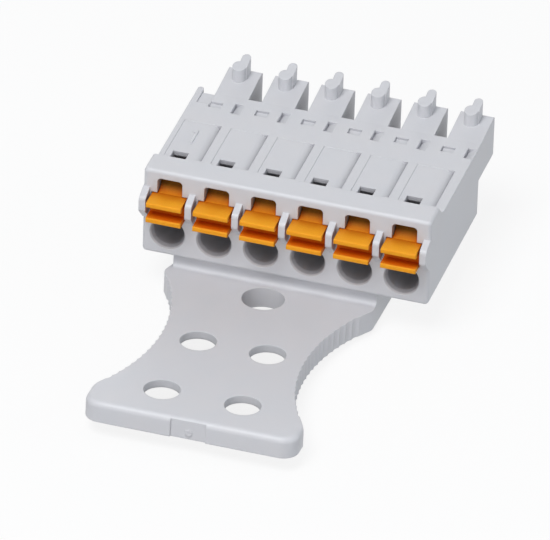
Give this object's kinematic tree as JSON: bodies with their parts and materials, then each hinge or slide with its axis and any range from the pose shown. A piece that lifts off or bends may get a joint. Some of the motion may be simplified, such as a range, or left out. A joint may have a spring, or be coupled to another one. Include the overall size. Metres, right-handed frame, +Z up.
{
  "type": "terminal block",
  "caption": "Pluggable terminal block with a push button over each wire entry and a waisted, serrated strain relief plate clipped under it.",
  "frame": {"origin": "on the bottom edge of the housing's front (wire side) face, midway along the row of poles", "axes": "+X along the row from pole 1 to pole 6, +Y from the wire side to the mating side, +Z up, square to the housing's base"},
  "size_m": [0.0214, 0.0355, 0.0108],
  "materials": {
    "grey_plastic": "fine satin",
    "orange_plastic": "satin",
    "spring_steel": "bright",
    "tinned_copper": "satin"
  },
  "bodies": {
    "housing_body": {"housing": "grey_plastic", "strain_relief_plate": "grey_plastic", "contact_1": "tinned_copper", "contact_2": "tinned_copper", "contact_3": "tinned_copper", "contact_4": "tinned_copper", "contact_5": "tinned_copper", "contact_6": "tinned_copper", "clamp_spring_1": "spring_steel", "clamp_spring_2": "spring_steel", "clamp_spring_3": "spring_steel", "clamp_spring_4": "spring_steel", "clamp_spring_5": "spring_steel", "clamp_spring_6": "spring_steel"},
    "button_1": {"push_button_1": "orange_plastic"},
    "button_2": {"push_button_2": "orange_plastic"},
    "button_3": {"push_button_3": "orange_plastic"},
    "button_4": {"push_button_4": "orange_plastic"},
    "button_5": {"push_button_5": "orange_plastic"},
    "button_6": {"push_button_6": "orange_plastic"}
  },
  "joints": [
    {"name": "press_1", "type": "slide", "parent": "housing_body", "child": "button_1", "axis": [0, 1, 0], "range_m": [0, 0.001], "stiffness_N_per_m": 300},
    {"name": "press_2", "type": "slide", "parent": "housing_body", "child": "button_2", "axis": [0, 1, 0], "range_m": [0, 0.001], "stiffness_N_per_m": 300},
    {"name": "press_3", "type": "slide", "parent": "housing_body", "child": "button_3", "axis": [0, 1, 0], "range_m": [0, 0.001], "stiffness_N_per_m": 300},
    {"name": "press_4", "type": "slide", "parent": "housing_body", "child": "button_4", "axis": [0, 1, 0], "range_m": [0, 0.001], "stiffness_N_per_m": 300},
    {"name": "press_5", "type": "slide", "parent": "housing_body", "child": "button_5", "axis": [0, 1, 0], "range_m": [0, 0.001], "stiffness_N_per_m": 300},
    {"name": "press_6", "type": "slide", "parent": "housing_body", "child": "button_6", "axis": [0, 1, 0], "range_m": [0, 0.001], "stiffness_N_per_m": 300}
  ]
}
